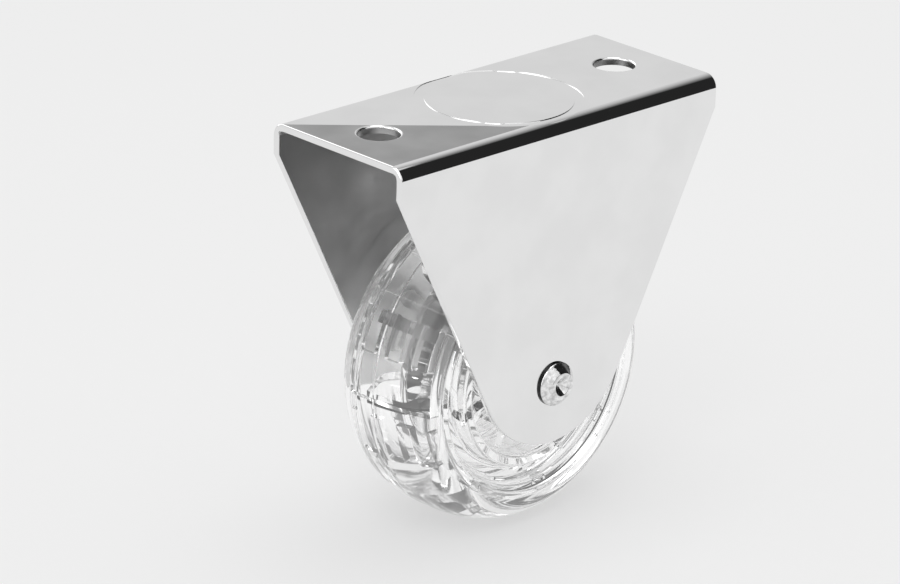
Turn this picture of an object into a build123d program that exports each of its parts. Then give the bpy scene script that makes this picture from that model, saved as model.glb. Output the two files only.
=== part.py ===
from build123d import *
import math
import os

# Fixed furniture castor: a clear wheel between the cheeks of a bent, plated steel fork.
# Frame: +Z up, X along the plate and the way the wheel rolls, Y along the axle.
# The origin is the centre of the plate's top face, which is screwed under the furniture,
# and the wheel hangs below it. The cheek with the clinched rivet end is at -Y.
# All sizes are in millimetres.

# Fork bracket, one bent sheet
plate_length = 67.0
fork_width = 28.0
sheet = 1.2
bend_inner_radius = 0.9
axle_drop = 42.5
cheek_straight = 5.1
cheek_round_radius = 15.4
cheek_round_rise = 5.7
edge_round = 0.25
screw_hole_diameter = 6.5
screw_hole_inset = 8.5
screw_hole_rollover = 0.35
pad_margin = 1.0
pad_ring_width = 1.5
pad_ring_depth = 0.1

# Axle rivet: a domed factory head at +Y and a clinched end with a conical pit at -Y
rivet_diameter = 5.0
rivet_hole_clearance = 0.05
clinch_radius = 3.5
clinch_height = 1.7
clinch_straight = 0.45
clinch_face_radius = 2.2
clinch_round = 0.3
pit_radius = 1.5
pit_depth = 1.1
pit_end_radius = 0.2
head_radius = 3.9
head_height = 1.8
head_straight = 0.3

# Spacer sleeve on the rivet, clamped between the cheeks, and the thrust washers
sleeve_wall = 0.9
sleeve_clearance = 0.08
washer_thickness = 0.5
washer_width = 2.4
washer_clearance = 0.1

# Wheel core, one clear moulding: hub, spoked web, raised ring, groove and rim
wheel_diameter = 50.0
wheel_side_gap = 2.6
tyre_thickness = 5.0
rim_thickness = 2.2
groove_width = 2.9
groove_depth = 2.0
groove_round = 1.0
ring_width = 1.9
ring_stand = 0.3
web_thickness = 3.6
hub_wall = 3.0
hub_end_gap = 0.15
bore_clearance = 0.08
core_round = 0.5
spoke_count = 8
spoke_thickness = 1.6
spoke_set_back = 1.9
spoke_phase = 17.0

# Rim pockets that the tyre is moulded into. A bar is left between each two pockets,
# and fingers reach from each bar into the pocket below it.
pocket_count = 8
pocket_depth = 1.3
pocket_side = 2.0
pocket_round = 1.2
bar_width = 2.3
bar_phase = 144.8
finger_width = 2.6
finger_length = 6.6
finger_tip_flat = 0.1
finger_rows = 3

# Tyre section
tread_flat = 2.4
shoulder_drop = 4.6
tyre_lip_width = 1.0
tyre_lip_drop = 1.3
tyre_lip_round = 0.35
bond_gap = 0.04

# Blocks that join or cut reach this far past the surface that they cross
overlap = 1.0

# Fork and axle, from the sizes above
bend_outer_radius = bend_inner_radius + sheet
cheek_outer = fork_width / 2
cheek_inner = cheek_outer - sheet
cheek_round_drop = axle_drop - cheek_round_rise
cheek_bottom = cheek_round_drop + cheek_round_radius
screw_hole_spacing = plate_length - 2 * screw_hole_inset
pad_rim_radius = cheek_outer - pad_margin
pad_middle_radius = pad_rim_radius - pad_ring_width
rivet_radius = rivet_diameter / 2
rivet_hole_radius = rivet_radius + rivet_hole_clearance
sleeve_inner_radius = rivet_radius + sleeve_clearance
sleeve_outer_radius = sleeve_inner_radius + sleeve_wall
washer_inner_radius = sleeve_outer_radius + washer_clearance
washer_radius = washer_inner_radius + washer_width

# Wheel, from the tread inwards and from the cheeks inwards
tread_radius = wheel_diameter / 2
rim_radius = tread_radius - tyre_thickness
groove_radius = rim_radius - rim_thickness
ring_radius = groove_radius - groove_width
dish_radius = ring_radius - ring_width
hub_bore_radius = sleeve_outer_radius + bore_clearance
hub_radius = hub_bore_radius + hub_wall
hub_half_length = cheek_inner - washer_thickness - hub_end_gap
tyre_half_width = cheek_inner - wheel_side_gap
rim_half_width = tyre_half_width - tyre_lip_width
ring_half_width = rim_half_width + ring_stand
groove_half_width = rim_half_width - groove_depth
spoke_half_width = ring_half_width - spoke_set_back
pocket_half_width = rim_half_width - pocket_side
pocket_pitch = 360 / pocket_count
finger_spacing = 2 * pocket_half_width / finger_rows
tyre_lip_radius = rim_radius - tyre_lip_drop
shoulder_radius = tread_radius - shoulder_drop
shoulder_width = tyre_half_width - tread_flat / 2

axle_place = Pos(0, 0, -axle_drop)


def cheek_tangent():
    """Place where a cheek's straight side edge runs into its round end, in X and Z."""
    corner_x = plate_length / 2
    corner_z = cheek_round_drop - cheek_straight
    reach = math.hypot(corner_x, corner_z)
    angle = math.atan2(corner_z, corner_x) - math.acos(cheek_round_radius / reach)
    x = cheek_round_radius * math.cos(angle)
    z = cheek_round_radius * math.sin(angle) - cheek_round_drop
    return x, z


def side_outline():
    """Outline of the fork seen along the axle: plate end, straight side, round end."""
    half = plate_length / 2
    x, z = cheek_tangent()
    right = Polyline((0, 0), (half, 0), (half, -cheek_straight), (x, z))
    left = Polyline((-x, z), (-half, -cheek_straight), (-half, 0), (0, 0))
    round_end = ThreePointArc((x, z), (0, -cheek_bottom), (-x, z))
    return Plane.XZ * make_face([right, round_end, left])


def channel_section(half_width, top, corner_radius):
    """Section of the bent channel: a tall block with its two upper corners rounded."""
    block = Rectangle(2 * half_width, 2 * cheek_bottom, align=(Align.CENTER, Align.MAX))
    block = fillet(block.vertices().group_by(Axis.Y)[-1], corner_radius)
    return Plane.YZ * Pos(0, top) * block


def make_fork_bracket():
    """Fork: one sheet bent twice, with tapered cheeks, screw holes and a coined ring round the pad."""
    outer = extrude(channel_section(cheek_outer, 0, bend_outer_radius), plate_length / 2, both=True)
    inner = extrude(channel_section(cheek_inner, -sheet, bend_inner_radius), plate_length, both=True)
    blank = extrude(side_outline(), fork_width, both=True)
    body = (outer - inner) & blank
    body = round_sheet_edges(body)
    body -= pad_ring()
    for side in (-1, 1):
        body -= screw_hole(side * screw_hole_spacing / 2)
    body -= axle_place * Rot(90, 0, 0) * Cylinder(rivet_hole_radius, fork_width * 2)
    return body


def round_sheet_edges(body):
    """Round the long edges of the sheet, where plating and tumbling have softened them."""
    end_faces = [f for f in body.faces() if is_cut_face(f)]
    chosen = ShapeList()
    for face in end_faces:
        for edge in face.edges():
            shared = [f for f in end_faces if f is not face and edge_on_face(edge, f)]
            if not shared:
                chosen.append(edge)
    return fillet(chosen, edge_round)


def is_cut_face(face):
    """True for a face made by the blanking outline, which runs straight along Y."""
    middle = face.position_at(0.5, 0.5)
    x, z = middle.X, middle.Z
    half = plate_length / 2
    tangent_x, tangent_z = cheek_tangent()
    on_end = abs(abs(x) - half) < 0.01
    slope = (half - tangent_x) / (-cheek_straight - tangent_z)
    line_x = tangent_x + slope * (z - tangent_z)
    on_side = abs(abs(x) - line_x) < 0.01 and tangent_z < z < -cheek_straight
    on_round = abs(math.hypot(x, z + cheek_round_drop) - cheek_round_radius) < 0.01 and z < tangent_z
    return on_end or on_side or on_round


def edge_on_face(edge, face):
    """True where an edge's middle lies on a face."""
    return face.distance_to(edge.position_at(0.5)) < 0.001


def pad_ring():
    """Shallow ring coined into the sheet's outer face. It follows the bends where it meets them."""
    height = bend_outer_radius + overlap
    ring = Cylinder(pad_rim_radius, height) - Cylinder(pad_middle_radius, height)
    kept_radius = bend_outer_radius - pad_ring_depth
    kept = channel_section(cheek_outer - pad_ring_depth, -pad_ring_depth, kept_radius)
    return Pos(0, 0, overlap - height / 2) * ring - extrude(kept, plate_length, both=True)


def screw_hole(x):
    """Punched screw hole whose top edge is rolled over a little."""
    radius = screw_hole_diameter / 2
    section = Pos(radius / 2, -sheet) * Rectangle(radius, sheet * 4)
    mouth = Pos(radius, 0) * Rectangle(2 * screw_hole_rollover, 2 * screw_hole_rollover)
    roll = Pos(radius + screw_hole_rollover, -screw_hole_rollover) * Circle(screw_hole_rollover)
    section = Plane.XZ * (section + mouth - roll)
    return Pos(x, 0, 0) * revolve(section, Axis.Z)


def make_axle_rivet():
    """Axle rivet in one piece: shank, domed head at +Y, clinched end with a pit at -Y."""
    clinch_top = cheek_outer + clinch_height
    clinch_edge = cheek_outer + clinch_straight
    pit_bottom = clinch_top - pit_depth
    head_edge = cheek_outer + head_straight
    head_top = cheek_outer + head_height
    outline = [
        Polyline(
            (-cheek_outer, rivet_radius),
            (-cheek_outer, clinch_radius),
            (-clinch_edge, clinch_radius),
            (-clinch_top, clinch_face_radius),
            (-clinch_top, pit_radius),
            (-pit_bottom, pit_end_radius),
            (-pit_bottom, 0),
            (head_top, 0),
        ),
        EllipticalCenterArc((head_edge, 0), head_top - head_edge, head_radius, 0, arc_size=90),
        Polyline(
            (head_edge, head_radius),
            (cheek_outer, head_radius),
            (cheek_outer, rivet_radius),
            (-cheek_outer, rivet_radius),
        ),
    ]
    section = make_face(outline)
    section = fillet(section.vertices().filter_by(is_clinch_corner), clinch_round)
    return axle_place * revolve(Plane.YZ * section, Axis.Y)


def is_clinch_corner(corner):
    """True for a corner on the outside of the clinched end, the pit's mouth included."""
    return corner.X < -cheek_outer - 0.01 and corner.Y > pit_radius - 0.01


def ring_section(inner, outer, half_width):
    """Rectangle in Y and radius that turns into a plain ring about the axle."""
    return Pos(0, (inner + outer) / 2) * Rectangle(2 * half_width, outer - inner)


def make_axle_sleeve():
    """Plain steel tube that the rivet clamps between the cheeks, so the hub stays free."""
    section = ring_section(sleeve_inner_radius, sleeve_outer_radius, cheek_inner)
    return axle_place * revolve(Plane.YZ * section, Axis.Y)


def make_thrust_washer(side):
    """Thin washer against one cheek, which keeps the hub's end off the plating."""
    section = ring_section(washer_inner_radius, washer_radius, washer_thickness / 2)
    section = Pos(side * (cheek_inner - washer_thickness / 2), 0) * section
    return axle_place * revolve(Plane.YZ * section, Axis.Y)


def core_section():
    """Half section of the core: hub, web, raised ring, groove floor and rim."""
    hub = ring_section(hub_bore_radius, hub_radius, hub_half_length)
    web = ring_section(hub_radius - overlap, dish_radius + overlap, web_thickness / 2)
    ring = ring_section(dish_radius, ring_radius, ring_half_width)
    floor = ring_section(ring_radius - overlap, groove_radius + overlap, groove_half_width)
    rim = ring_section(groove_radius, rim_radius, rim_half_width)
    section = hub + web + ring + floor + rim
    section = fillet(section.vertices().filter_by(is_groove_corner), groove_round)
    return fillet(section.vertices().filter_by(is_plain_corner), core_round)


def is_groove_corner(corner):
    """True for a corner of the core's section at the bottom of the groove."""
    at_floor = abs(abs(corner.X) - groove_half_width) < 0.01
    return at_floor and ring_radius - 0.01 < corner.Y < groove_radius + 0.01


def is_plain_corner(corner):
    """True for a corner of the core's section away from the bore and the groove."""
    in_groove = ring_radius - 0.01 < corner.Y < groove_radius + 0.01
    on_side = abs(corner.X) > rim_half_width - 0.01
    return corner.Y > hub_bore_radius + 0.01 and (on_side or not in_groove)


def rim_degrees(length):
    """Angle that a length takes up along the rim."""
    return math.degrees(length / rim_radius)


def rim_block(left, right, start, end, inner, outer, corner_round):
    """Block curved with the rim, between two widths, angles and radii.

    Its corners are rounded as seen from outside the wheel.
    """
    place = Pos((left + right) / 2, (inner + outer) / 2)
    section = place * Rectangle(right - left, outer - inner)
    block = Rot(0, 90 - end, 0) * revolve(Plane.YZ * section, Axis.Y, end - start)
    return fillet(block.edges().filter_by(is_radial), corner_round)


def is_radial(edge):
    """True for an edge that points away from the wheel's axis."""
    start = edge.position_at(0)
    end = edge.position_at(1)
    rise = math.hypot(end.X, end.Z) - math.hypot(start.X, start.Z)
    return abs(rise) > edge.length / 2


def pocket_solid(index, clearance):
    """Space of one rim pocket round its fingers, smaller all round by a clearance."""
    half_bar = rim_degrees(bar_width / 2)
    start = bar_phase + index * pocket_pitch + half_bar + rim_degrees(clearance)
    end = start + pocket_pitch - 2 * half_bar - 2 * rim_degrees(clearance)
    half = pocket_half_width - clearance
    floor = rim_radius - pocket_depth + clearance
    above = rim_radius + overlap
    pocket = rim_block(-half, half, start, end, floor, above, pocket_round - clearance)
    finger_start = start - rim_degrees(bar_width)
    finger_end = start + rim_degrees(finger_length)
    finger_half = finger_width / 2 + clearance
    tip_round = finger_half - finger_tip_flat / 2
    for row in range(finger_rows):
        middle = (row - (finger_rows - 1) / 2) * finger_spacing
        left = middle - finger_half
        right = middle + finger_half
        below = floor - overlap
        past = above + overlap
        pocket -= rim_block(left, right, finger_start, finger_end, below, past, tip_round)
    return pocket


def pocket_solids(clearance):
    """All the rim pockets, evenly spaced round the wheel."""
    return [pocket_solid(index, clearance) for index in range(pocket_count)]


def spoke_solids():
    """Flat radial ribs that stiffen the web on both sides, from the hub to the ring."""
    inner = hub_radius - overlap
    outer = dish_radius + overlap
    plate = Pos((inner + outer) / 2, 0, 0) * Box(outer - inner, 2 * spoke_half_width, spoke_thickness)
    return [Rot(0, -spoke_phase - i * 360 / spoke_count, 0) * plate for i in range(spoke_count)]


def make_wheel_core():
    """Clear core in one moulding: bored hub, spoked web, ring, and rim with pockets."""
    body = revolve(Plane.YZ * core_section(), Axis.Y)
    body = body + spoke_solids()
    body = body - pocket_solids(0)
    return axle_place * body


def tyre_section():
    """Half section of the tyre: crowned tread, shoulders, and lips over the rim's sides."""
    flat = tread_flat / 2
    inner = rim_radius + bond_gap
    side = rim_half_width + bond_gap
    right = EllipticalCenterArc((flat, shoulder_radius), shoulder_width, shoulder_drop, 0, arc_size=90)
    left = EllipticalCenterArc((-flat, shoulder_radius), shoulder_width, shoulder_drop, 90, arc_size=90)
    crown = Line((flat, tread_radius), (-flat, tread_radius))
    inside = Polyline(
        (-tyre_half_width, shoulder_radius),
        (-tyre_half_width, tyre_lip_radius),
        (-side, tyre_lip_radius),
        (-side, inner),
        (side, inner),
        (side, tyre_lip_radius),
        (tyre_half_width, tyre_lip_radius),
        (tyre_half_width, shoulder_radius),
    )
    section = make_face([right, crown, left, inside])
    lip_corners = section.vertices().filter_by(
        lambda v: abs(v.Y - tyre_lip_radius) < 0.01 and abs(v.X) > side + 0.01
    )
    return fillet(lip_corners, tyre_lip_round)


def make_tyre():
    """Clear tyre moulded over the rim, whose inside fills the pockets and so locks there."""
    body = revolve(Plane.YZ * tyre_section(), Axis.Y)
    body = body + pocket_solids(bond_gap)
    return axle_place * body


def main():
    """Build every piece and write each one under its own name."""
    parts = {
        "fork_bracket": make_fork_bracket(),
        "axle_rivet": make_axle_rivet(),
        "axle_sleeve": make_axle_sleeve(),
        "thrust_washer_near": make_thrust_washer(-1),
        "thrust_washer_far": make_thrust_washer(1),
        "wheel_core": make_wheel_core(),
        "tyre": make_tyre(),
    }
    os.makedirs("parts", exist_ok=True)
    for name, shape in parts.items():
        shape.label = name
        export_step(shape, os.path.join("parts", name + ".step"))
        print(name, round(shape.volume, 1))


main()
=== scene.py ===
"""Looks of a fixed furniture castor: a clear wheel in a folded, chrome-plated fork.

All shapes are modelled in millimetres in the castor's own frame, with the origin in the middle
of the plate's top face, X along the plate, Y along the axle and Z up, and turned into metres
when their objects are made.
"""
import logging
import math
from dataclasses import dataclass, replace
from enum import Enum
from typing import Callable, Iterable

import bmesh
import bpy
from bmesh.types import BMEdge, BMesh, BMFace, BMVert
from bpy.types import Material, Node, NodeSocket, Object, ShaderNodeTree
from mathutils import Matrix, Vector


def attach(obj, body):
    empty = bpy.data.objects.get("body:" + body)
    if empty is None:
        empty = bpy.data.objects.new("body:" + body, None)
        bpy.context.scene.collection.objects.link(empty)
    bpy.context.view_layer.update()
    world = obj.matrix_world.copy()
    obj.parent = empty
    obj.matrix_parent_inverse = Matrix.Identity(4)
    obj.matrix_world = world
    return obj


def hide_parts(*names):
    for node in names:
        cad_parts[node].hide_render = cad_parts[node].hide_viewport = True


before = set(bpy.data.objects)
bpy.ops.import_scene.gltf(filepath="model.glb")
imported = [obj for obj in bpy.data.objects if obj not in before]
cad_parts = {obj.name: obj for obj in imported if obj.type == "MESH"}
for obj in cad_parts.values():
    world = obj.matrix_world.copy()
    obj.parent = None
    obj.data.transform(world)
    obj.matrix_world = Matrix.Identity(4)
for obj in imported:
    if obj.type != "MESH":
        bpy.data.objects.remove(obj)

LOG = logging.getLogger("castor")
MILLIMETRE = 0.001
FULL_TURN = 2 * math.pi
# Places nearer to each other than this count as one, in millimetres.
TOUCH = 0.01
# How far tools and ribs reach past what they cut or join, in millimetres.
REACH = 1.0
# Steps across a rounding: so many for each millimetre of its radius, but at least so many.
STEPS_PER_MILLIMETRE = 6
LEAST_STEPS = 3
# An edge is shown sharp from this angle on.
CREASE = math.radians(32)
ALONG, AXLE, UP = Vector((1, 0, 0)), Vector((0, 1, 0)), Vector((0, 0, 1))
# Times this, a vector keeps only what lies across the axle.
ACROSS = ALONG + UP
AXLE_DROP = 42.5
AXLE_CENTRE = Vector((0, 0, -AXLE_DROP))
WHITE, BLACK = (1, 1, 1, 1), (0, 0, 0, 1)
# Brightness of the pale room all round, into which most screens fade at their ends.
ROOM = 0.75
# Numbers of a piece's second and third finish.
SECOND, THIRD = 1, 2
Pair, Triple = tuple[float, float], tuple[float, float, float]
Inputs = dict[str | int, object]


class Body(Enum):
    """The two bodies of the castor, as the frame names them."""

    FORK = "fork"
    WHEEL = "wheel"


class Join(Enum):
    """Ways in which one solid works on another."""

    CUT = "DIFFERENCE"
    ADD = "UNION"


@dataclass(frozen=True)
class Corner:
    """One corner of an outline that is turned about an axis.

    Args:
        along: Place along the axis, in millimetres.
        radius: Distance from the axis, in millimetres.
        rounding: Radius that rounds the corner, or 0 for a sharp one.
    """

    along: float
    radius: float
    rounding: float = 0.0

    def cut_back(self, before: "Corner", after: "Corner") -> float:
        """Distance from the corner at which its rounding starts.

        Args:
            before: The corner before it.
            after: The corner after it.

        Returns:
            The distance along either of its two edges.
        """
        arrival = Vector((self.along - before.along, self.radius - before.radius))
        leaving = Vector((after.along - self.along, after.radius - self.radius))
        return self.rounding * math.tan(arrival.angle(leaving) / 2)


def ellipse_corners(
    middle: Pair, reach: Pair, start: float, end: float, steps: int
) -> list[Corner]:
    """Corners along a stretch of an ellipse.

    Args:
        middle: Its centre, along the axis and out from it.
        reach: Its half sizes in the same two directions.
        start: Angle of the first corner in degrees, from the axis' own direction.
        end: Angle of the last corner in degrees.
        steps: Number of straight steps.

    Returns:
        The corners from start to end.
    """
    corners = []
    for step in range(steps + 1):
        angle = math.radians(start + (end - start) * step / steps)
        along = middle[0] + reach[0] * math.cos(angle)
        out = middle[1] + reach[1] * math.sin(angle)
        corners.append(Corner(along, out))
    return corners


def tube_outline(
    start: float, end: float, inner: float, outer: float, soft: float = 0.0
) -> list[Corner]:
    """Outline of a plain ring, or of a rod where the inner radius is 0.

    Args:
        start: Where it starts along the axis.
        end: Where it ends.
        inner: Inner radius.
        outer: Outer radius.
        soft: Rounding of its outer corners.

    Returns:
        The corners in order.
    """
    outside = [Corner(start, outer, soft), Corner(end, outer, soft)]
    return [Corner(start, inner), *outside, Corner(end, inner)]


def mirrored(half: list[Corner]) -> list[Corner]:
    """Complete an outline with its mirror image on the other side of the middle."""
    return half + [Corner(-c.along, c.radius, c.rounding) for c in reversed(half)]


def put(name: str, data: bpy.types.ID) -> Object:
    """Put an object into the scene.

    Args:
        name: Its name.
        data: What it is made of.

    Returns:
        The object.
    """
    item = bpy.data.objects.new(name, data)
    bpy.context.scene.collection.objects.link(item)
    return item


def put_mesh(name: str, bm: BMesh) -> Object:
    """Put a shape into the scene as an object of its own.

    Args:
        name: Its name.
        bm: The shape.

    Returns:
        The object.
    """
    mesh = bpy.data.meshes.new(name)
    bm.to_mesh(mesh)
    return put(name, mesh)


class Solid:
    """A shape under work, held as a bmesh in millimetres."""

    def __init__(self) -> None:
        """Start an empty shape."""
        self.bm = bmesh.new()

    @classmethod
    def block(cls, low: Triple, high: Triple) -> "Solid":
        """Make a plain block.

        Args:
            low: Its lowest corner.
            high: Its highest corner.

        Returns:
            The block.
        """
        solid = cls()
        size = Vector(high) - Vector(low)
        middle = (Vector(high) + Vector(low)) / 2
        placing = Matrix.Translation(middle) @ Matrix.Diagonal((*size, 1))
        bmesh.ops.create_cube(solid.bm, size=1, matrix=placing)
        return solid

    @classmethod
    def turned(
        cls, outline: list[Corner], axis: Vector, out: Vector, centre: Vector, steps: int,
        span: float = FULL_TURN,
    ) -> "Solid":
        """Turn an outline about an axis.

        Args:
            outline: Its corners in order. Corners on the axis close it there.
            axis: Direction of the axis.
            out: Direction in which the outline is drawn, square to the axis.
            centre: Place from which the corners are measured.
            steps: Number of steps in the turn.
            span: Angle of the turn in radians. Short of a full turn, both ends are closed.

        Returns:
            The turned solid.
        """
        solid = cls()
        bm = solid.bm
        verts = [bm.verts.new(centre + axis * c.along + out * c.radius) for c in outline]
        bm.faces.new(verts)
        for index, corner in enumerate(outline):
            if corner.rounding:
                before, after = outline[index - 1], outline[(index + 1) % len(outline)]
                bmesh.ops.bevel(
                    bm, geom=[verts[index]], offset=corner.cut_back(before, after),
                    offset_type="OFFSET", profile=0.5, affect="VERTICES", material=-1,
                    segments=max(LEAST_STEPS, round(corner.rounding * STEPS_PER_MILLIMETRE)),
                )
        bmesh.ops.delete(bm, geom=bm.faces[:], context="FACES_ONLY")

        def on_axis(vert: BMVert) -> bool:
            """Tell whether a vertex lies on the axis."""
            offset = vert.co - centre
            return (offset - axis * offset.dot(axis)).length < TOUCH

        hidden = [e for e in bm.edges if all(on_axis(v) for v in e.verts)]
        bmesh.ops.delete(bm, geom=hidden, context="EDGES")
        full = span == FULL_TURN
        bmesh.ops.spin(
            bm, geom=bm.verts[:] + bm.edges[:], cent=centre, axis=axis, angle=span,
            steps=steps, use_merge=full,
        )
        if full:
            bmesh.ops.remove_doubles(bm, verts=bm.verts, dist=TOUCH / 10)
        else:
            bmesh.ops.holes_fill(bm, edges=[e for e in bm.edges if e.is_boundary])
        bmesh.ops.recalc_face_normals(bm, faces=bm.faces)
        return solid

    def round_edges(self, wanted: Callable[[BMEdge], bool], radius: float, segments: int) -> None:
        """Round the edges that a test picks.

        Args:
            wanted: Test that takes an edge.
            radius: Radius of the rounding.
            segments: Number of steps across it.
        """
        chosen = [e for e in self.bm.edges if wanted(e)]
        bmesh.ops.bevel(
            self.bm, geom=chosen, offset=radius, offset_type="OFFSET", segments=segments,
            profile=0.5, affect="EDGES", material=-1, clamp_overlap=True,
        )

    def turn(self, angle: float) -> None:
        """Turn the shape about the axle by an angle in radians."""
        rotation = Matrix.Rotation(angle, 3, AXLE)
        bmesh.ops.rotate(self.bm, verts=self.bm.verts, cent=AXLE_CENTRE, matrix=rotation)

    def ring_of_copies(self, count: int) -> None:
        """Repeat the shape evenly round the axle.

        Args:
            count: Number of copies in all.
        """
        first = self.bm.verts[:] + self.bm.edges[:] + self.bm.faces[:]
        for index in range(1, count):
            copied = bmesh.ops.duplicate(self.bm, geom=first)["geom"]
            verts = [g for g in copied if isinstance(g, BMVert)]
            rotation = Matrix.Rotation(FULL_TURN * index / count, 3, AXLE)
            bmesh.ops.rotate(self.bm, verts=verts, cent=AXLE_CENTRE, matrix=rotation)

    def work(self, tool: "Solid", join: Join) -> None:
        """Cut a tool out of this shape or add it on. The tool is used up.

        Args:
            tool: The other solid.
            join: What to do with it.
        """
        kept, used = put_mesh("work", self.bm), put_mesh("tool", tool.bm)
        modifier = kept.modifiers.new("join", "BOOLEAN")
        modifier.operation = join.value
        modifier.solver = "MANIFOLD"
        modifier.object = used
        graph = bpy.context.evaluated_depsgraph_get()
        result = bpy.data.meshes.new_from_object(kept.evaluated_get(graph))
        self.bm.clear()
        self.bm.from_mesh(result)
        tool.bm.free()
        for item in (kept, used):
            mesh = item.data
            bpy.data.objects.remove(item)
            bpy.data.meshes.remove(mesh)
        bpy.data.meshes.remove(result)

    def dress(self, finish: int, wanted: Callable[[BMFace, Vector], bool]) -> None:
        """Give the faces that a test picks another of the piece's finishes.

        Args:
            finish: Number of the finish.
            wanted: Test that takes a face and its middle.
        """
        for face in self.bm.faces:
            if wanted(face, face.calc_center_median()):
                face.material_index = finish

    def piece(
        self, name: str, materials: Iterable[Material], body: Body, node: str, slot: str
    ) -> Object:
        """Turn the shape into a finished piece that stands for a node of the frame.

        Args:
            name: The piece's name.
            materials: Its finishes, in the order of their numbers.
            body: The body that it rides on.
            node: The frame's node that it stands for.
            slot: Name of a finish in the record; not used.

        Returns:
            The finished object.
        """
        bmesh.ops.scale(self.bm, vec=Vector((1, 1, 1)) * MILLIMETRE, verts=self.bm.verts)
        item = put_mesh(name, self.bm)
        self.bm.free()
        mesh = item.data
        mesh.shade_smooth()
        mesh.set_sharp_from_angle(angle=CREASE)
        for material in materials:
            mesh.materials.append(material)
        normals = item.modifiers.new("even_shading", "WEIGHTED_NORMAL")
        normals.keep_sharp = True
        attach(item, body.value)
        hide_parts(node)
        LOG.info("%s: %d faces on %s", name, len(mesh.polygons), body.value)
        return item


def about_axle(outline: list[Corner], steps: int) -> Solid:
    """Turn an outline about the axle's line."""
    return Solid.turned(outline, AXLE, UP, AXLE_CENTRE, steps)


def out_from_axle(place: Vector) -> float:
    """Distance of a place from the axle's line."""
    return math.hypot(place.x, place.z + AXLE_DROP)


class Wiring:
    """Small help for wiring the nodes of one material or group."""

    def __init__(self, tree: ShaderNodeTree) -> None:
        """Take the tree that the nodes go into."""
        self.tree = tree

    def feed(self, node: Node, values: Inputs) -> None:
        """Give a node's inputs their values.

        Args:
            node: The node.
            values: By an input's name or number, a plain value or the output that feeds it.
        """
        for name, value in values.items():
            if isinstance(value, NodeSocket):
                self.tree.links.new(value, node.inputs[name])
            else:
                node.inputs[name].default_value = value

    def add(self, kind: str, values: Inputs | None = None, **settings: object) -> Node:
        """Add a node.

        Args:
            kind: The node's type.
            values: What goes into its inputs.
            settings: Its attributes.

        Returns:
            The node.
        """
        node = self.tree.nodes.new(kind)
        for name, value in settings.items():
            setattr(node, name, value)
        self.feed(node, values or {})
        return node


def start_material(name: str, values: Inputs) -> tuple[Material, Wiring, Node]:
    """Start a material.

    Args:
        name: Its name.
        values: Plain values of its shader's sockets.

    Returns:
        The material, its wiring and its shader.
    """
    material = bpy.data.materials.new(name)
    material.use_nodes = True
    nodes = Wiring(material.node_tree)
    shader = material.node_tree.nodes["Principled BSDF"]
    nodes.feed(shader, values)
    return material, nodes, shader


def cloud_group() -> ShaderNodeTree:
    """Build the shared group that mottles a finish with soft clouds.

    Returns:
        A group with scale, low and high inputs, a value output and the plain clouds as a height.
    """
    group = bpy.data.node_groups.new("soft_clouds", "ShaderNodeTree")
    sockets = group.interface
    for name, default in (("Scale", 200.0), ("Low", 0.0), ("High", 1.0)):
        socket = sockets.new_socket(name=name, in_out="INPUT", socket_type="NodeSocketFloat")
        socket.default_value = default
    for name in ("Value", "Height"):
        sockets.new_socket(name=name, in_out="OUTPUT", socket_type="NodeSocketFloat")
    nodes = Wiring(group)
    given = nodes.add("NodeGroupInput").outputs
    place = nodes.add("ShaderNodeTexCoord").outputs["Object"]
    clouds = nodes.add("ShaderNodeTexNoise", {
        "Vector": place, "Scale": given["Scale"], "Detail": 2.0, "Roughness": 0.5,
    }).outputs["Fac"]
    spread = nodes.add("ShaderNodeMapRange", {
        "Value": clouds, "From Min": 0.3, "From Max": 0.7,
        "To Min": given["Low"], "To Max": given["High"],
    }, interpolation_type="SMOOTHSTEP")
    nodes.add("NodeGroupOutput", {"Value": spread.outputs["Result"], "Height": clouds})
    return group


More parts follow.
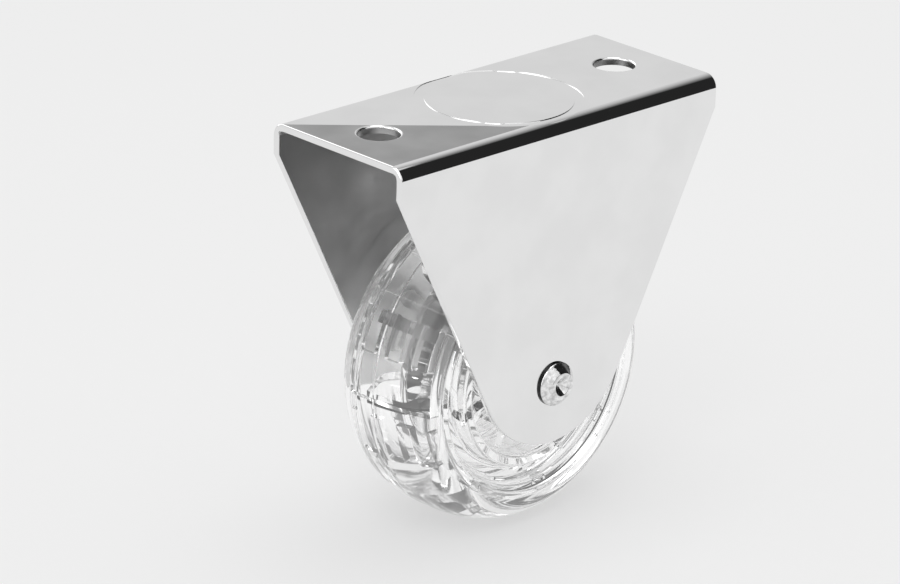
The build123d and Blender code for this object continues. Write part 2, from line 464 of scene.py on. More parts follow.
@dataclass(frozen=True)
class Finish:
    """How a surface looks, whatever it is made of.

    Args:
        name: Name of its material.
        shade: Darkest and lightest value of its colour, mottled between.
        roughness: Lowest and highest roughness.
        cloud_scale: How fine the mottling is, per metre.
        metallic: Whether it is bare or plated metal.
        clear: Whether light passes through it.
        refraction: Its index of refraction, where it is clear.
        ripple: Height of its unevenness, in metres, as a bump.
        ripple_scale: How fine the unevenness is, per metre.
        glow: Light that each crossing of a clear surface adds.
        throat_shade: Share of the colour that is left right under the plate; painted shade, darker
            towards it.
        throat_depth: Depth in metres over which the full colour returns.
        rough_scale: How much finer the roughness is mottled than the colour.
    """

    name: str
    shade: Pair
    roughness: Pair
    cloud_scale: float = 120.0
    metallic: bool = False
    clear: bool = False
    refraction: float = 1.5
    ripple: float = 0.0
    ripple_scale: float = 60.0
    glow: float = 0.0
    throat_shade: float = 1.0
    throat_depth: float = 0.045
    rough_scale: float = 1.7

    def material(self, clouds: ShaderNodeTree) -> Material:
        """Build the material.

        Args:
            clouds: The shared group that mottles a finish.

        Returns:
            The material.
        """
        values = {"Metallic": float(self.metallic), "IOR": self.refraction}
        if self.clear:
            values["Transmission Weight"] = 1.0
            values["Emission Color"] = WHITE
            values["Emission Strength"] = self.glow
        material, nodes, shader = start_material(self.name, values)
        shade = self._clouds(nodes, clouds, self.cloud_scale, self.shade)
        # Painted shade: the colour darkens towards the plate.
        if self.throat_shade < 1:
            shade = self._painted_plate_shade(nodes, shade)
        rough = self._clouds(nodes, clouds, self.cloud_scale * self.rough_scale, self.roughness)
        nodes.feed(shader, {"Base Color": shade, "Roughness": rough})
        if self.ripple:
            waves = nodes.add("ShaderNodeGroup", {"Scale": self.ripple_scale}, node_tree=clouds)
            bump = nodes.add("ShaderNodeBump", {
                "Strength": 1.0, "Distance": self.ripple, "Height": waves.outputs["Height"],
            })
            nodes.feed(shader, {"Normal": bump.outputs["Normal"]})
        return material

    def _painted_plate_shade(self, nodes: Wiring, shade: NodeSocket) -> NodeSocket:
        """Paint shade into a colour, darker towards the plate.

        Args:
            nodes: The material's wiring.
            shade: The colour's socket.

        Returns:
            The socket of the colour with its painted shade.
        """
        place = nodes.add("ShaderNodeTexCoord").outputs["Object"]
        height = nodes.add("ShaderNodeSeparateXYZ", {"Vector": place}).outputs["Z"]
        left = nodes.add("ShaderNodeMapRange", {
            "Value": height, "From Min": -self.throat_depth, "From Max": 0.0,
            "To Min": 1.0, "To Max": self.throat_shade,
        }, interpolation_type="SMOOTHSTEP").outputs["Result"]
        product = nodes.add("ShaderNodeMath", {0: shade, 1: left}, operation="MULTIPLY")
        return product.outputs["Value"]

    def _clouds(
        self, nodes: Wiring, clouds: ShaderNodeTree, scale: float, span: Pair
    ) -> NodeSocket:
        """Place the mottling group with its own values.

        Args:
            nodes: The material's wiring.
            clouds: The group.
            scale: How fine it is, per metre.
            span: The two values that it runs between.

        Returns:
            The socket that gives the mottled value.
        """
        values = {"Scale": scale, "Low": span[0], "High": span[1]}
        return nodes.add("ShaderNodeGroup", values, node_tree=clouds).outputs["Value"]


CHROME = Finish("bright_chrome", (0.835, 0.87), (0.03, 0.05), metallic=True, ripple=3e-6)
# The inner plating carries painted shade, darker right under the plate.
CHROME_INSIDE = Finish(
    "dull_inner_plating_painted_shade", (0.80, 1.0), (0.29, 0.42), cloud_scale=95.0, metallic=True,
    ripple=3e-5, ripple_scale=110.0, throat_shade=0.42,
)
RIVET_CHROME = Finish(
    "rivet_chrome", (0.55, 0.92), (0.04, 0.10), cloud_scale=1300.0, metallic=True,
    ripple=4e-5, ripple_scale=1300.0,
)
# Painted shade: near black on the clinched end's short side, in the crevice beside the cheek.
RIVET_CREVICE_SHADE = Finish("rivet_crevice_shade", (0.02, 0.06), (0.25, 0.4), cloud_scale=900.0, metallic=True)
SLEEVE_STEEL = Finish("sleeve_steel", (0.08, 0.24), (0.12, 0.25), cloud_scale=300.0, metallic=True)
WASHER_NYLON = Finish("washer_nylon", (0.72, 0.80), (0.42, 0.52), cloud_scale=300.0)

# Many light paths end inside the clear parts before they come out, which leaves the wheel too
# dark. The low refraction of the web and of the seam between core and tyre, and the glow, stand
# in for that light.
CORE_REFRACTION = 1.58
WEB_REFRACTION = 1.25
TYRE_REFRACTION = 1.49
SEAM_REFRACTION = 1.3
INNER_GLOW = 0.024
CORE_CLEAR = Finish(
    "core_clear", (0.98, 1.0), (0.0, 0.02), clear=True, refraction=CORE_REFRACTION,
    glow=INNER_GLOW,
)
CORE_BOND = replace(CORE_CLEAR, name="core_bond", refraction=CORE_REFRACTION / SEAM_REFRACTION)
CORE_WEB = replace(CORE_CLEAR, name="core_web", refraction=WEB_REFRACTION, glow=0.0)
TYRE_CLEAR = Finish(
    "tyre_clear", (0.98, 1.0), (0.03, 0.05), clear=True, refraction=TYRE_REFRACTION,
    glow=INNER_GLOW, ripple=8e-6, ripple_scale=160.0,
)
TYRE_BOND = replace(CORE_BOND, name="tyre_bond", refraction=TYRE_REFRACTION / SEAM_REFRACTION)


@dataclass
class Fork:
    """The fork, one sheet bent twice, with its holes and the pad pressed into its plate.

    Args:
        length: Length of the plate.
        width: Width across the outside of the cheeks.
        sheet: Thickness of the sheet.
        bend_radius: Outer radius of the two bends.
        cheek_straight: Height of the plate's square ends.
        round_drop: Depth of the centre of the cheeks' round ends.
        round_radius: Radius of those round ends.
        edge_round: Radius that softens the sheet's cut edges.
        screw_spacing, screw_radius: Distance between the screw holes and their radius.
        screw_roll: Radius of their rolled mouths.
        pad_inner, pad_outer, pad_depth: Radii and depth of the ring coined round the pad.
        pad_soft: Rounding of that ring's edges.
        axle_hole: Radius of the axle's holes.
        bend_steps, round_steps: Flat steps across a bend and round a cheek's end.
        pad_steps, soft_steps: Flat steps round the coined ring and across its edges.
        hole_steps, roll_steps: Flat steps round a hole and across its mouth.
    """

    length: float = 67.0
    width: float = 28.0
    sheet: float = 1.2
    bend_radius: float = 2.1
    cheek_straight: float = 5.1
    round_drop: float = 36.8
    round_radius: float = 15.4
    edge_round: float = 0.25
    screw_spacing: float = 50.0
    screw_radius: float = 3.25
    screw_roll: float = 0.35
    pad_inner: float = 11.5
    pad_outer: float = 13.0
    pad_depth: float = 0.1
    pad_soft: float = 0.05
    axle_hole: float = 2.55
    bend_steps: int = 14
    round_steps: int = 40
    pad_steps: int = 144
    soft_steps: int = 2
    hole_steps: int = 64
    roll_steps: int = 5

    def build(self, outside: Material, inside: Material) -> Object:
        """Model the fork and dress it.

        Args:
            outside: Finish of the outer faces.
            inside: Finish of the faces between the cheeks and in the screw holes, with painted
                shade towards the plate.

        Returns:
            The finished piece.
        """
        solid = self._folded_sheet()
        self._cut_outline(solid)
        self._thicken(solid)
        self._coin_ring(solid)
        self._punch_holes(solid)
        solid.dress(SECOND, self._is_inside)
        return solid.piece(
            "fork_sheet", (outside, inside), Body.FORK, "fork_bracket", "fork_plating"
        )

    def _folded_block(self, inset: float) -> Solid:
        """Model a block with its two long top edges rounded as the sheet is bent.

        Args:
            inset: How far it lies inside the sheet's outer face.

        Returns:
            The block.
        """
        long, half = self.length / 2, self.width / 2 - inset
        drop = self.round_drop + self.round_radius + self.sheet
        block = Solid.block((-long, -half, -drop), (long, half, -inset))

        def on_bend(edge: BMEdge) -> bool:
            """Tell whether an edge runs along one of the bends."""
            first, second = (v.co for v in edge.verts)
            return min(first.z, second.z) > -inset - TOUCH and abs(first.y - second.y) < TOUCH

        block.round_edges(on_bend, self.bend_radius - inset, self.bend_steps)
        return block

    def _folded_sheet(self) -> Solid:
        """Fold the sheet's outer face.

        Returns:
            The face, open below and at both ends.
        """
        solid = self._folded_block(0.0)
        solid.bm.normal_update()
        open_ways = [f for f in solid.bm.faces if f.normal.z < -TOUCH or abs(f.normal.x) > TOUCH]
        bmesh.ops.delete(solid.bm, geom=open_ways, context="FACES")
        return solid

    def _cut_outline(self, solid: Solid) -> None:
        """Cut the tapered sides and the round ends with planes that touch the outline.

        Args:
            solid: The folded sheet.
        """
        corner = Vector((self.length / 2, 0, -self.cheek_straight))
        middle = Vector((0, 0, -self.round_drop))
        reach = corner - middle
        lean = math.atan2(reach.z, reach.x) - math.acos(self.round_radius / reach.length)
        for side in (-1, 1):
            for step in range(self.round_steps + 1):
                angle = lean - (lean + math.pi / 2) * step / self.round_steps
                normal = Vector((side * math.cos(angle), 0, math.sin(angle)))
                geometry = solid.bm.verts[:] + solid.bm.edges[:] + solid.bm.faces[:]
                bmesh.ops.bisect_plane(
                    solid.bm, geom=geometry, plane_co=middle + normal * self.round_radius,
                    plane_no=normal, clear_outer=True, dist=TOUCH / 100,
                )

    def _thicken(self, solid: Solid) -> None:
        """Give the sheet its thickness inwards and soften its cut edges.

        Args:
            solid: The cut sheet.
        """
        bmesh.ops.recalc_face_normals(solid.bm, faces=solid.bm.faces)
        top = max(solid.bm.faces, key=lambda f: f.calc_center_median().z)
        if top.normal.z < 0:
            bmesh.ops.reverse_faces(solid.bm, faces=solid.bm.faces)
        bmesh.ops.solidify(solid.bm, geom=solid.bm.faces[:], thickness=self.sheet)
        bmesh.ops.recalc_face_normals(solid.bm, faces=solid.bm.faces)
        square = math.radians(60)
        solid.round_edges(lambda e: e.calc_face_angle(0) > square, self.edge_round, LEAST_STEPS)

    def _coin_ring(self, solid: Solid) -> None:
        """Coin the shallow ring round the pad, which follows the bends where it meets them.

        Args:
            solid: The sheet.
        """
        low = -self.bend_radius
        section = [
            Corner(low, self.pad_inner), Corner(REACH, self.pad_inner),
            Corner(REACH, self.pad_outer), Corner(low, self.pad_outer),
        ]
        ring = Solid.turned(section, UP, ALONG, Vector(), self.pad_steps)
        ring.work(self._folded_block(self.pad_depth), Join.CUT)
        solid.work(ring, Join.CUT)

        def on_ring(edge: BMEdge) -> bool:
            """Tell whether an edge runs along one of the ring's two circles."""
            way = edge.verts[1].co - edge.verts[0].co
            return abs(way.z) < way.length / 2 and any(
                all(abs(v.co.xy.length - radius) < TOUCH and v.co.z > low for v in edge.verts)
                for radius in (self.pad_inner, self.pad_outer)
            )

        solid.round_edges(on_ring, self.pad_soft, self.soft_steps)

    def _punch_holes(self, solid: Solid) -> None:
        """Punch the two screw holes, with rolled mouths, and the two axle holes.

        Args:
            solid: The sheet.
        """
        roll, below = self.screw_roll, -3 * self.sheet
        mouth = self.screw_radius + roll
        punch = [Corner(below, 0), Corner(below, self.screw_radius)]
        punch += ellipse_corners((-roll, mouth), (roll, roll), 270, 360, self.roll_steps)
        punch += [Corner(REACH, mouth), Corner(REACH, 0)]
        for side in (-1, 1):
            centre = Vector((side * self.screw_spacing / 2, 0, 0))
            solid.work(Solid.turned(punch, UP, ALONG, centre, self.hole_steps), Join.CUT)
        drill = tube_outline(-self.width, self.width, 0, self.axle_hole)
        solid.work(about_axle(drill, self.hole_steps), Join.CUT)

    def _is_inside(self, face: BMFace, middle: Vector) -> bool:
        """Tell whether a face lies between the cheeks or is a screw hole's wall.

        Args:
            face: The face.
            middle: Its middle.

        Returns:
            Whether it takes the inner finish.
        """
        between = abs(middle.y) < self.width / 2 - self.sheet + TOUCH
        beside = math.hypot(abs(middle.x) - self.screw_spacing / 2, middle.y)
        wall = beside < self.screw_radius + TOUCH
        return wall or (between and middle.z < -self.sheet + TOUCH)


@dataclass
class Axle:
    """The rivet, the sleeve that it clamps and the two washers beside the hub.

    Args:
        cheek_outer, cheek_inner: Half the distance across the cheeks, outside and inside.
        rivet_radius: Radius of the rivet's pin.
        clinch_*: Its clinched end on the near cheek, with a straight side and a flat face.
        pit_*: The pit in that end, with a small flat floor.
        head_*: Its factory head on the far cheek, a dome on a straight side.
        sleeve_*: The sleeve between the cheeks, with soft edges.
        washer_*: The washers at both ends of the hub, with soft edges.
        steps: Flat steps round the axle.
    """

    cheek_outer: float = 14.0
    cheek_inner: float = 12.8
    rivet_radius: float = 2.5
    clinch_radius: float = 3.5
    clinch_height: float = 1.7
    clinch_straight: float = 0.45
    clinch_face: float = 2.2
    clinch_round: float = 0.3
    pit_radius: float = 1.5
    pit_depth: float = 1.1
    pit_end: float = 0.2
    head_radius: float = 3.9
    head_height: float = 1.8
    head_straight: float = 0.3
    head_steps: int = 16
    sleeve_inner: float = 2.58
    sleeve_outer: float = 3.48
    sleeve_soft: float = 0.1
    washer_inner: float = 3.58
    washer_outer: float = 5.98
    washer_soft: float = 0.12
    washer_thickness: float = 0.5
    steps: int = 96

    def build(self, rivet: list[Material], sleeve: Material, washer: Material) -> list[Object]:
        """Model the axle's pieces and dress them.

        Args:
            rivet: Finishes of the rivet, in the open and with painted shade in the crevice beside
                the cheek.
            sleeve: Finish of the sleeve.
            washer: Finish of the washers.

        Returns:
            The finished pieces.
        """
        pin = about_axle(self._rivet_outline(), self.steps)
        # The crevice beside the cheek takes the painted shade.
        pin.dress(SECOND, self._in_crevice)
        pieces = [pin.piece("rivet", rivet, Body.FORK, "axle_rivet", "rivet_plating")]
        inner = self.cheek_inner
        tube = tube_outline(-inner, inner, self.sleeve_inner, self.sleeve_outer, self.sleeve_soft)
        pieces.append(about_axle(tube, self.steps).piece(
            "sleeve_tube", (sleeve,), Body.FORK, "axle_sleeve", "sleeve_steel"
        ))
        for name, side in (("near", -1), ("far", 1)):
            ends = sorted((side * inner, side * (inner - self.washer_thickness)))
            ring = tube_outline(*ends, self.washer_inner, self.washer_outer, self.washer_soft)
            pieces.append(about_axle(ring, self.steps).piece(
                f"washer_{name}", (washer,), Body.FORK, f"thrust_washer_{name}", "washer_nylon"
            ))
        return pieces

    def _in_crevice(self, face: BMFace, middle: Vector) -> bool:
        """Tell whether a face is on the clinched end's short side, where it meets the cheek.

        Args:
            face: The face.
            middle: Its middle.

        Returns:
            Whether it takes the crevice's painted shade.
        """
        edge = self.cheek_outer + self.clinch_straight
        at_side = out_from_axle(middle) > self.clinch_radius - 2 * TOUCH
        return -edge < middle.y < -self.cheek_outer and at_side

    def _rivet_outline(self) -> list[Corner]:
        """Draw the rivet's outline.

        Returns:
            The corners, from the middle of its pit to the top of its factory head.
        """
        top = self.cheek_outer + self.clinch_height
        edge = self.cheek_outer + self.clinch_straight
        pit_floor = top - self.pit_depth
        head_edge = self.cheek_outer + self.head_straight
        head_reach = (self.head_height - self.head_straight, self.head_radius)
        soft = self.clinch_round
        outline = [
            Corner(-pit_floor, 0),
            Corner(-pit_floor, self.pit_end),
            Corner(-top, self.pit_radius, soft),
            Corner(-top, self.clinch_face, soft),
            Corner(-edge, self.clinch_radius, soft),
            Corner(-self.cheek_outer, self.clinch_radius),
            Corner(-self.cheek_outer, self.rivet_radius),
            Corner(self.cheek_outer, self.rivet_radius),
            Corner(self.cheek_outer, self.head_radius),
        ]
        return outline + ellipse_corners((head_edge, 0), head_reach, 90, 0, self.head_steps)


@dataclass
class Wheel:
    """The wheel: a clear core with pockets in its rim, and the clear tyre moulded into them.

    Args:
        tread_radius, tread_flat: Radius of the tread and half width of its flat middle.
        tyre_half, shoulder_radius: Half width of the tyre and radius at the crown's ends.
        lip_*: Inner radius of the lips beside the rim, rounding of their corners.
        bond_gap, bond_level: Gap between core and tyre, and how level a bonded face lies.
        parting_*: Half width and depth of the line where the tyre's mould parted.
        rim_*, groove_*, ring_*: Outer radius and half width of the core's rim, of the groove
            inside it and of the ring inside that.
        dish_radius, web_half: Inner radius of the ring and half thickness of the web there.
        hub_*, bore_radius: The hub and its bore.
        groove_round, core_round: Rounding of the groove's and the core's other corners.
        spoke_*: The flat ribs on the web. A phase is the first one's angle in degrees.
        pocket_*, bar_*: The pockets in the rim and the bars between them.
        finger_*: The rows of fingers that reach into each pocket from the bar at its start.
        shoulder_steps, corner_steps, steps: Flat steps across the crown, across a corner of a
            pocket or finger, and round the wheel.
    """

    tread_radius: float = 25.0
    tread_flat: float = 1.2
    tyre_half: float = 10.2
    shoulder_radius: float = 20.4
    shoulder_steps: int = 20
    lip_radius: float = 18.7
    lip_round: float = 0.35
    bond_gap: float = 0.04
    bond_level: float = 0.7
    parting_half: float = 0.16
    parting_depth: float = 0.13
    rim_radius: float = 20.0
    rim_half: float = 9.2
    groove_radius: float = 17.8
    groove_half: float = 7.2
    groove_round: float = 1.0
    ring_radius: float = 14.9
    ring_half: float = 9.5
    dish_radius: float = 13.0
    web_half: float = 1.8
    hub_radius: float = 6.56
    hub_half: float = 12.15
    bore_radius: float = 3.56
    core_round: float = 0.5
    spoke_count: int = 8
    spoke_half: float = 7.6
    spoke_thickness: float = 1.6
    spoke_phase: float = 17.0
    pocket_count: int = 8
    pocket_depth: float = 1.3
    pocket_half: float = 7.2
    pocket_round: float = 1.2
    bar_width: float = 2.3
    bar_phase: float = 144.8
    finger_width: float = 2.6
    finger_length: float = 6.6
    finger_rows: int = 3
    finger_round: float = 0.95
    corner_steps: int = 6
    steps: int = 160

    def build(self, core: list[Material], tyre: list[Material]) -> list[Object]:
        """Model the core and the tyre and dress them.

        Args:
            core: Finishes of the core, in the open, where the tyre is bonded to it and on its web.
            tyre: Finishes of the tyre, in the open and where it is bonded to the core.

        Returns:
            The two finished pieces.
        """
        body = about_axle(self._core_outline(), self.steps)
        body.work(self._spokes(), Join.ADD)
        body.work(self._pockets(0.0), Join.CUT)
        band = about_axle(self._tyre_outline(), self.steps)
        band.work(self._pockets(self.bond_gap), Join.ADD)
        for solid in (body, band):
            solid.dress(SECOND, self._is_bonded)
        body.dress(SECOND, lambda _, middle: out_from_axle(middle) < self.bore_radius + TOUCH)
        body.dress(THIRD, self._is_web)
        return [
            body.piece("clear_core", core, Body.WHEEL, "wheel_core", "core_clear"),
            band.piece("clear_tyre", tyre, Body.WHEEL, "tyre", "tyre_clear"),
        ]

    def _is_bonded(self, face: BMFace, middle: Vector) -> bool:
        """Tell whether core and tyre are bonded together at a face.

        The steep walls of the pockets and fingers stay unbonded: a film of air shows them.

        Args:
            face: The face.
            middle: Its middle.

        Returns:
            Whether it takes the bond's finish.
        """
        out, aside, gap = out_from_axle(middle), abs(middle.y), 2 * self.bond_gap
        within = self.lip_radius - self.pocket_depth < out < self.rim_radius + gap
        under_lip = out > self.lip_radius - TOUCH or aside < self.groove_half + TOUCH
        past_groove = out > self.groove_radius + TOUCH
        level = abs(face.normal.dot((middle - AXLE_CENTRE) * ACROSS)) > out * self.bond_level
        on_side = aside > self.rim_half - TOUCH
        beside = aside < self.rim_half + gap
        return within and beside and under_lip and past_groove and (level or on_side)

    def _is_web(self, face: BMFace, middle: Vector) -> bool:
        """Tell whether a face belongs to the web or the spokes."""
        within = self.hub_radius + TOUCH < out_from_axle(middle) < self.dish_radius - TOUCH
        return within and abs(middle.y) < self.ring_half

    def _core_outline(self) -> list[Corner]:
        """Draw the core's section.

        Returns:
            The corners on both sides of its middle.
        """
        soft, deep = self.core_round, self.groove_round
        half = [
            Corner(self.hub_half, self.bore_radius),
            Corner(self.hub_half, self.hub_radius, soft),
            Corner(self.web_half, self.hub_radius, soft),
            Corner(self.web_half, self.dish_radius, soft),
            Corner(self.ring_half, self.dish_radius, soft),
            Corner(self.ring_half, self.ring_radius, soft),
            Corner(self.groove_half, self.ring_radius, deep),
            Corner(self.groove_half, self.groove_radius, deep),
            Corner(self.rim_half, self.groove_radius, soft),
            Corner(self.rim_half, self.rim_radius, soft),
        ]
        return mirrored(half)

    def _tyre_outline(self) -> list[Corner]:
        """Draw the tyre's section, with the fine line where its mould parted.

        Returns:
            The corners on both sides of its middle.
        """
        reach = (self.tyre_half - self.tread_flat, self.tread_radius - self.shoulder_radius)
        side = self.rim_half + self.bond_gap
        inner = self.rim_radius + self.bond_gap
        crown = (self.tread_flat, self.shoulder_radius)
        half = [Corner(self.parting_half, self.tread_radius)]
        half += ellipse_corners(crown, reach, 90, 0, self.shoulder_steps)
        half += [
            Corner(self.tyre_half, self.lip_radius, self.lip_round),
            Corner(side, self.lip_radius),
            Corner(side, inner),
        ]
        return mirrored(half) + [Corner(0, self.tread_radius - self.parting_depth)]

    def _spokes(self) -> Solid:
        """Model the flat ribs between the hub and the ring.

        Returns:
            All of them in one.
        """
        inner, outer = self.hub_radius - REACH, self.dish_radius + REACH
        thick = self.spoke_thickness / 2
        low = (inner, -self.spoke_half, -AXLE_DROP - thick)
        high = (outer, self.spoke_half, -AXLE_DROP + thick)
        spokes = Solid.block(low, high)
        spokes.turn(-math.radians(self.spoke_phase))
        spokes.ring_of_copies(self.spoke_count)
        return spokes

    def _rim_degrees(self, length: float) -> float:
        """Angle in degrees that a length takes up along the rim."""
        return math.degrees(length / self.rim_radius)

    def _rim_block(self, sides: Pair, ends: Pair, reach: Pair, soft: float) -> Solid:
        """Model a block curved with the rim, with its corners rounded as seen from outside.

        Args:
            sides: Where it starts and ends along the axle.
            ends: Angles of its two ends, in degrees from the X axis up.
            reach: Inner and outer radius.
            soft: Radius of its corners.

        Returns:
            The block.
        """
        inner, outer = reach
        outline = [Corner(s, r) for s, r in zip(sides + sides[::-1], (inner, inner, outer, outer))]
        angle = math.radians(ends[0])
        out = Vector((math.cos(angle), 0, math.sin(angle)))
        span = math.radians(ends[1] - ends[0])
        steps = max(LEAST_STEPS + 1, round(self.steps * span / FULL_TURN))
        block = Solid.turned(outline, -AXLE, out, AXLE_CENTRE, steps, span)

        def radial(edge: BMEdge) -> bool:
            """Tell whether an edge points away from the axle."""
            gaps = [(v.co - AXLE_CENTRE) * ACROSS for v in edge.verts]
            return abs(gaps[0].length - gaps[1].length) > edge.calc_length() / 2

        block.round_edges(radial, soft, self.corner_steps)
        return block

    def _pockets(self, clearance: float) -> Solid:
        """Model the space of the rim's pockets round their fingers.

        Args:
            clearance: How much smaller it is all round.

        Returns:
            All the pockets in one.
        """
        half_bar = self._rim_degrees(self.bar_width / 2)
        inset = self._rim_degrees(clearance)
        start = self.bar_phase + half_bar + inset
        end = start + 360 / self.pocket_count - 2 * half_bar - 2 * inset
        half = self.pocket_half - clearance
        floor = self.rim_radius - self.pocket_depth + clearance
        above = self.rim_radius + REACH
        soft = self.pocket_round - clearance
        pocket = self._rim_block((-half, half), (start, end), (floor, above), soft)
        spacing = 2 * self.pocket_half / self.finger_rows
        finger_half = self.finger_width / 2 + clearance
        finger_start = start - self._rim_degrees(self.bar_width)
        finger_end = start + self._rim_degrees(self.finger_length)
        for row in range(self.finger_rows):
            middle = (row - (self.finger_rows - 1) / 2) * spacing
            pocket.work(self._rim_block(
                (middle - finger_half, middle + finger_half), (finger_start, finger_end),
                (floor - REACH, above + REACH), finger_half * self.finger_round,
            ), Join.CUT)
        pocket.ring_of_copies(self.pocket_count)
        return pocket


@dataclass(frozen=True)
class Lamp:
    """A soft round lamp that shines at the castor.

    Args:
        name: Its name.
        turn: Its direction in degrees from the X axis.
        rise: Its height in degrees, as seen from the castor.
        distance: How far off it hangs, in metres.
        size: Its diameter in metres.
        energy: Its power in watts.
    """

    name: str
    turn: float
    rise: float
    distance: float
    size: float
    energy: float

    def hang(self) -> None:
        """Put the lamp into the scene."""
        turn, rise = math.radians(self.turn), math.radians(self.rise)
        toward = Vector((
            math.cos(turn) * math.cos(rise), math.sin(turn) * math.cos(rise), math.sin(rise)
        ))
        data = bpy.data.lights.new(self.name, "AREA")
        data.shape = "DISK"
        data.size = self.size
        data.energy = self.energy
        lamp = put(self.name, data)
        lamp.location = toward * self.distance
        lamp.rotation_euler = toward.to_track_quat("Z", "Y").to_euler()


@dataclass(frozen=True)
class Screen:
    """An upright curved sheet round the castor that the camera doesn't see.

    Args:
        name: Its name.
        turn: Where it starts and ends, in degrees from the X axis.
        rise: Height of its lower and upper edge in degrees, as seen from the castor.
        radius: Its distance in metres.
        glow: How bright it is in its middle.
        end_glow: How bright it is at both ends.
        fade: Width in degrees over which its brightness changes at each end.
        through: Whether it is seen through clear parts as well as in reflections.
        steps: Number of flat steps along it.
    """

    name: str
    turn: Pair
    rise: Pair
    radius: float
    glow: float
    end_glow: float = ROOM
    fade: float = 12.0
    through: bool = False
    steps: int = 64

    def stand(self) -> None:
        """Put the sheet into the scene."""
        bm = bmesh.new()
        angle = math.radians(self.turn[0])
        out = Vector((math.cos(angle), math.sin(angle), 0)) * self.radius
        foot, head = (
            bm.verts.new(out + Vector((0, 0, self.radius * math.tan(math.radians(rise)))))
            for rise in self.rise
        )
        edge = bm.edges.new((foot, head))
        bmesh.ops.spin(
            bm, geom=[foot, head, edge], cent=(0, 0, 0), axis=UP,
            angle=math.radians(self.turn[1] - self.turn[0]), steps=self.steps,
        )
        sheet = put_mesh(self.name, bm)
        bm.free()
        sheet.data.materials.append(self._cloth())
        sheet.visible_camera = False
        sheet.visible_diffuse = False
        sheet.visible_shadow = False
        sheet.visible_transmission = self.through

    def _cloth(self) -> Material:
        """Build the sheet's material, which changes its brightness towards both ends.

        Returns:
            The material.
        """
        material, nodes, shader = start_material(self.name, {
            "Base Color": BLACK, "Specular IOR Level": 0.0, "Emission Color": WHITE,
        })
        middle = math.radians(sum(self.turn) / 2)
        half = math.radians(self.turn[1] - self.turn[0]) / 2
        place = nodes.add("ShaderNodeTexCoord").outputs["Object"]
        level = nodes.add("ShaderNodeVectorMath", {0: place, 1: (1, 1, 0)}, operation="MULTIPLY")
        facing = nodes.add(
            "ShaderNodeVectorMath", {0: level.outputs["Vector"]}, operation="NORMALIZE"
        )
        toward = nodes.add("ShaderNodeVectorMath", {
            0: facing.outputs["Vector"], 1: (math.cos(middle), math.sin(middle), 0),
        }, operation="DOT_PRODUCT")
        away = nodes.add("ShaderNodeMath", {0: toward.outputs["Value"]}, operation="ARCCOSINE")
        fade = nodes.add("ShaderNodeMapRange", {
            "Value": away.outputs["Value"], "From Min": half - math.radians(self.fade),
            "From Max": half, "To Min": self.glow, "To Max": self.end_glow,
        })
        nodes.feed(shader, {"Emission Strength": fade.outputs["Result"]})
        return material


LAMPS = (
    Lamp("top_lamp", turn=20.0, rise=84.0, distance=0.72, size=0.4, energy=0.9),
    Lamp("front_lamp", turn=215.0, rise=50.0, distance=0.9, size=0.4, energy=1.0),
)
SCREENS = (
    Screen("dark_screen", (-112.0, 38.0), (-12.68, 52.0), radius=0.3, glow=0.02, fade=53.0),
    Screen("near_panel", (-125.0, -62.0), (2.0, 51.0), radius=0.294, glow=1.05, end_glow=1.05),
    Screen("left_panel", (140.0, 200.0), (-4.0, 48.0), radius=0.6, glow=2.6, through=True),
    Screen("back_panel", (64.0, 112.0), (4.0, 50.0), radius=0.6, glow=2.2, through=True),
)


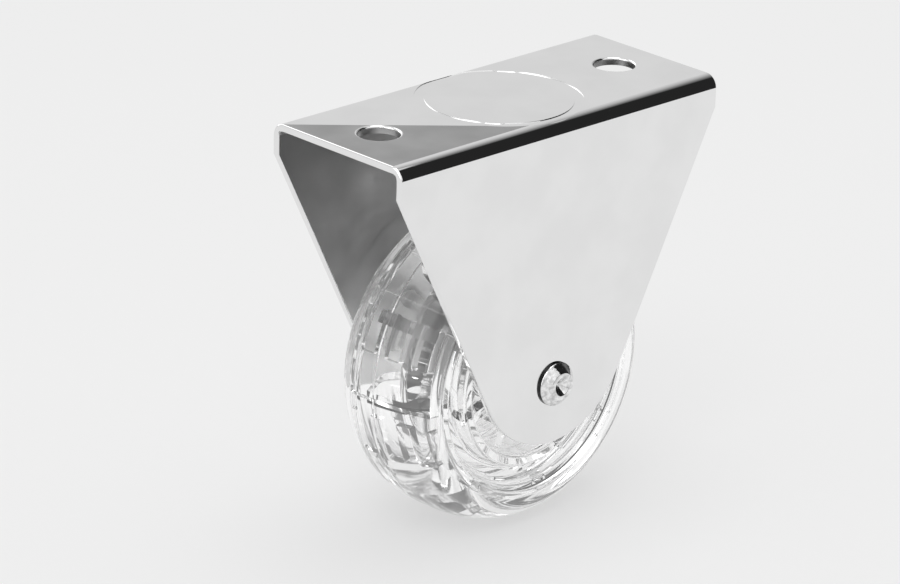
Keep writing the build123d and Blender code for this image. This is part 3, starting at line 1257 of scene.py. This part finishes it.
@dataclass
class Studio:
    """The floor, the light and the camera.

    Args:
        azimuth: Angle of the camera round the castor in degrees, 0 looking along +Y.
        elevation: Height of the camera's view in degrees.
        roll: Tilt of the picture in degrees.
        distance: From the camera to its target, in millimetres.
        target: Point that the middle of the picture shows, in millimetres.
        lens: Focal length in millimetres.
        sensor: Width of the picture that the lens throws, in millimetres.
        clip: Nearest and farthest distance that the camera sees, in metres.
        floor_drop: Depth of the floor under the plate's top, in millimetres.
        floor_size: Length of the floor's sides in metres.
        floor_shade: How light the floor is.
        floor_glow: Light that the floor gives off, as an evenly lit backdrop does.
    """

    azimuth: float = -44.408
    elevation: float = 21.315
    roll: float = 1.573
    distance: float = 755.7
    target: Triple = (-7.94, 1.39, -30.07)
    lens: float = 197.2
    sensor: float = 36.0
    clip: Pair = (0.01, 50.0)
    floor_drop: float = 67.5
    floor_size: float = 6.0
    floor_shade: float = 0.36
    floor_glow: float = 0.52

    def build(self) -> None:
        """Set up the floor, the surroundings, the lamps and the camera."""
        self._floor()
        self._surroundings()
        for screen in SCREENS:
            screen.stand()
        for lamp in LAMPS:
            lamp.hang()
        self._camera()
        settings = bpy.context.scene.view_settings
        settings.view_transform = "Standard"

    def _floor(self) -> None:
        """Lay the plain pale floor."""
        bm = bmesh.new()
        bmesh.ops.create_grid(bm, x_segments=1, y_segments=1, size=self.floor_size / 2)
        bmesh.ops.translate(bm, verts=bm.verts, vec=(0, 0, -self.floor_drop * MILLIMETRE))
        floor = put_mesh("floor", bm)
        bm.free()
        material, _, _ = start_material("floor_paper", {
            "Base Color": (self.floor_shade,) * 3 + (1,), "Roughness": 0.9,
            "Specular IOR Level": 0.0, "Emission Color": WHITE,
            "Emission Strength": self.floor_glow,
        })
        floor.data.materials.append(material)

    def _surroundings(self) -> None:
        """Light the castor evenly from a pale room."""
        world = bpy.data.worlds.new("studio")
        world.use_nodes = True
        background = world.node_tree.nodes["Background"]
        background.inputs["Color"].default_value = WHITE
        background.inputs["Strength"].default_value = ROOM
        bpy.context.scene.world = world

    def _camera(self) -> None:
        """Place the camera as the photograph was taken."""
        turn, rise, tilt = map(math.radians, (self.azimuth, self.elevation, self.roll))
        pose = Matrix.Rotation(turn, 4, "Z") @ Matrix.Rotation(FULL_TURN / 4 - rise, 4, "X")
        pose = pose @ Matrix.Rotation(tilt, 4, "Z")
        data = bpy.data.cameras.new("camera")
        data.lens = self.lens
        data.sensor_width = self.sensor
        data.clip_start, data.clip_end = self.clip
        camera = put("camera", data)
        back = pose.col[2].xyz
        pose.translation = (Vector(self.target) + back * self.distance) * MILLIMETRE
        camera.matrix_world = pose
        bpy.context.scene.camera = camera


def corners(bounds: Iterable[Iterable[float]]) -> list[list[float]]:
    """Turn a box into plain lists of numbers."""
    return [[float(value) for value in corner] for corner in bounds]


def main() -> None:
    """Build the castor's pieces in order, then the studio, and log each piece's face count."""
    logging.basicConfig(level=logging.INFO, format="%(message)s")
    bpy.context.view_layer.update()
    clouds = cloud_group()
    Fork().build(CHROME.material(clouds), CHROME_INSIDE.material(clouds))
    rivet = [finish.material(clouds) for finish in (RIVET_CHROME, RIVET_CREVICE_SHADE)]
    Axle().build(rivet, SLEEVE_STEEL.material(clouds), WASHER_NYLON.material(clouds))
    core = [finish.material(clouds) for finish in (CORE_CLEAR, CORE_BOND, CORE_WEB)]
    tyre = [finish.material(clouds) for finish in (TYRE_CLEAR, TYRE_BOND)]
    Wheel().build(core, tyre)
    Studio().build()


if __name__ == "__main__":
    main()
